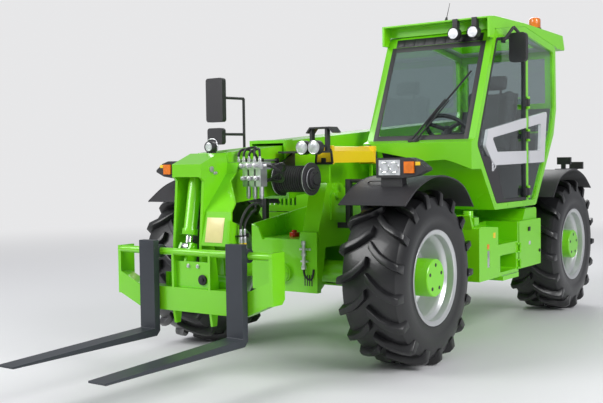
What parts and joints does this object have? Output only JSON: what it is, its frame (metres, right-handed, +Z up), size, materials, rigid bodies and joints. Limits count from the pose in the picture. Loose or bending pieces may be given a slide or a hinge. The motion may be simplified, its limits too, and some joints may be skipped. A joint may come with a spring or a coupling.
{
  "type": "telehandler",
  "caption": "Four-wheel-steer telescopic handler with a telescopic boom, fork carriage, side-mounted engine and a left-hand cab.",
  "frame": {"origin": "on the ground, under the middle of the whole outline, from the fork tips to the tail", "axes": "+Z up, the machine faces -Y, its left side (the cab) is +X"},
  "size_m": [2.45, 5.956, 2.6899],
  "materials": {
    "amber_lens": "gloss",
    "black_steel": "satin",
    "body_block": "gloss",
    "dark_plastic": "textured matte",
    "engine_iron": "rough",
    "fork_steel": "satin",
    "glass": "clear",
    "green_paint": "gloss",
    "hood_plastic": "gloss",
    "lamp_lens": "gloss",
    "red_lens": "gloss",
    "rim_silver": "satin",
    "rod_chrome": "polished",
    "seat_fabric": "woven",
    "steel": "brushed",
    "trim_white": "gloss",
    "tyre_rubber": "matte",
    "yellow_paint": "gloss"
  },
  "bodies": {
    "chassis": {"amber_lenses": "amber_lens", "cab_frame": "green_paint", "cab_glass": "glass", "dashboard": "dark_plastic", "engine_block": "engine_iron", "engine_pod": "green_paint", "fenders": "dark_plastic", "front_axle": "green_paint", "lamp_housings": "dark_plastic", "lamp_lenses": "lamp_lens", "main_frame": "green_paint", "mirror_right": "dark_plastic", "quarter_trim": "trim_white", "rear_axle": "green_paint", "red_lenses": "red_lens", "roof_visor": "hood_plastic", "safety_strut": "yellow_paint", "seat": "seat_fabric", "side_locker": "body_block", "step_box": "body_block", "tow_hitch": "black_steel", "windscreen": "glass"},
    "knuckle_front_left": {"knuckle_front_left": "green_paint"},
    "wheel_front_left": {"tyre_front_left": "tyre_rubber", "rim_front_left": "rim_silver", "hub_front_left": "green_paint"},
    "knuckle_front_right": {"knuckle_front_right": "green_paint"},
    "wheel_front_right": {"tyre_front_right": "tyre_rubber", "rim_front_right": "rim_silver", "hub_front_right": "green_paint"},
    "knuckle_rear_left": {"knuckle_rear_left": "green_paint"},
    "wheel_rear_left": {"tyre_rear_left": "tyre_rubber", "rim_rear_left": "rim_silver", "hub_rear_left": "green_paint"},
    "knuckle_rear_right": {"knuckle_rear_right": "green_paint"},
    "wheel_rear_right": {"tyre_rear_right": "tyre_rubber", "rim_rear_right": "rim_silver", "hub_rear_right": "green_paint"},
    "boom": {"boom_outer": "green_paint", "hose_drum": "dark_plastic", "boom_lamp": "dark_plastic"},
    "boom_tip": {"boom_inner": "green_paint", "boom_head": "green_paint", "valve_block": "steel", "head_lamp": "dark_plastic"},
    "lift_barrel": {"lift_cylinder_barrel": "green_paint"},
    "lift_rod": {"lift_cylinder_rod": "rod_chrome"},
    "tilt_barrel": {"tilt_cylinder_barrel": "green_paint"},
    "tilt_rod": {"tilt_cylinder_rod": "rod_chrome"},
    "carriage": {"fork_carriage": "green_paint"},
    "fork_left": {"fork_left": "fork_steel"},
    "fork_right": {"fork_right": "fork_steel"},
    "door": {"door_frame": "green_paint", "door_glass": "glass", "door_trim": "trim_white", "mirror_left": "dark_plastic"},
    "locker_door": {"locker_door": "body_block"},
    "hood": {"engine_hood": "hood_plastic"}
  },
  "joints": [
    {"name": "steer_front_left", "type": "hinge", "parent": "chassis", "child": "knuckle_front_left", "pos_m": [0.78, -0.597, 0.605], "axis": [0, 0, 1], "range_deg": [-35, 35]},
    {"name": "roll_front_left", "type": "hinge", "parent": "knuckle_front_left", "child": "wheel_front_left", "pos_m": [0.89, -0.597, 0.605], "axis": [1, 0, 0], "continuous": true},
    {"name": "steer_front_right", "type": "hinge", "parent": "chassis", "child": "knuckle_front_right", "pos_m": [-0.78, -0.597, 0.605], "axis": [0, 0, 1], "range_deg": [-35, 35]},
    {"name": "roll_front_right", "type": "hinge", "parent": "knuckle_front_right", "child": "wheel_front_right", "pos_m": [-0.89, -0.597, 0.605], "axis": [1, 0, 0], "continuous": true},
    {"name": "steer_rear_left", "type": "hinge", "parent": "chassis", "child": "knuckle_rear_left", "pos_m": [0.78, 2.253, 0.605], "axis": [0, 0, 1], "range_deg": [-35, 35]},
    {"name": "roll_rear_left", "type": "hinge", "parent": "knuckle_rear_left", "child": "wheel_rear_left", "pos_m": [0.89, 2.253, 0.605], "axis": [1, 0, 0], "continuous": true},
    {"name": "steer_rear_right", "type": "hinge", "parent": "chassis", "child": "knuckle_rear_right", "pos_m": [-0.78, 2.253, 0.605], "axis": [0, 0, 1], "range_deg": [-35, 35]},
    {"name": "roll_rear_right", "type": "hinge", "parent": "knuckle_rear_right", "child": "wheel_rear_right", "pos_m": [-0.89, 2.253, 0.605], "axis": [1, 0, 0], "continuous": true},
    {"name": "boom_lift", "type": "hinge", "parent": "chassis", "child": "boom", "pos_m": [-0.17, 2.328, 1.66], "axis": [-1, 0, 0], "range_deg": [-2.5, 65]},
    {"name": "boom_extend", "type": "slide", "parent": "boom", "child": "boom_tip", "axis": [0, -0.9969, -0.0785], "range_m": [0, 2.4]},
    {"name": "carriage_tilt", "type": "hinge", "parent": "boom_tip", "child": "carriage", "pos_m": [-0.055, -1.612, 0.6], "axis": [1, 0, 0], "range_deg": [-12, 75]},
    {"name": "lift_cylinder_swing", "type": "hinge", "parent": "chassis", "child": "lift_barrel", "pos_m": [-0.17, 2.008, 0.68], "axis": [-1, 0, 0], "range_deg": [-2, 52]},
    {"name": "lift_cylinder_stroke", "type": "slide", "parent": "lift_barrel", "child": "lift_rod", "axis": [0, -0.9414, 0.3373], "range_m": [-0.0411, 1.0675]},
    {"name": "tilt_cylinder_swing", "type": "hinge", "parent": "boom_tip", "child": "tilt_barrel", "pos_m": [-0.17, -1.572, 1.365], "axis": [1, 0, 0], "range_deg": [-13.26, 2.12]},
    {"name": "tilt_cylinder_stroke", "type": "slide", "parent": "tilt_barrel", "child": "tilt_rod", "axis": [0, -0.1906, -0.9817], "range_m": [-0.0421, 0.2633]},
    {"name": "fork_right_swing", "type": "hinge", "parent": "carriage", "child": "fork_right", "pos_m": [-0.387, -1.762, 0.83], "axis": [-1, 0, 0], "range_deg": [0, 60]},
    {"name": "fork_left_swing", "type": "hinge", "parent": "carriage", "child": "fork_left", "pos_m": [0.35, -1.762, 0.83], "axis": [-1, 0, 0], "range_deg": [0, 60]},
    {"name": "door_swing", "type": "hinge", "parent": "chassis", "child": "door", "pos_m": [1.08, 1.179, 1.5], "axis": [0, 0, 1], "range_deg": [0, 95]},
    {"name": "hood_open", "type": "hinge", "parent": "chassis", "child": "hood", "pos_m": [-0.386, 0.828, 1.37], "axis": [0, 1, 0], "range_deg": [0, 50]},
    {"name": "locker_swing", "type": "hinge", "parent": "chassis", "child": "locker_door", "pos_m": [1.067, 1.022, 0.608], "axis": [0, 0, -1], "range_deg": [0, 95]}
  ],
  "couplings": [
    {"joint": "steer_front_right", "follows": "steer_front_left", "ratio": 1},
    {"joint": "steer_rear_right", "follows": "steer_rear_left", "ratio": 1},
    {"joint": "lift_cylinder_swing", "follows": "boom_lift", "ratio": 0.78427},
    {"joint": "lift_cylinder_stroke", "follows": "boom_lift", "m_per_rad": 0.92253},
    {"joint": "tilt_cylinder_swing", "follows": "carriage_tilt", "ratio": -0.17336},
    {"joint": "tilt_cylinder_stroke", "follows": "carriage_tilt", "m_per_rad": 0.19717}
  ]
}
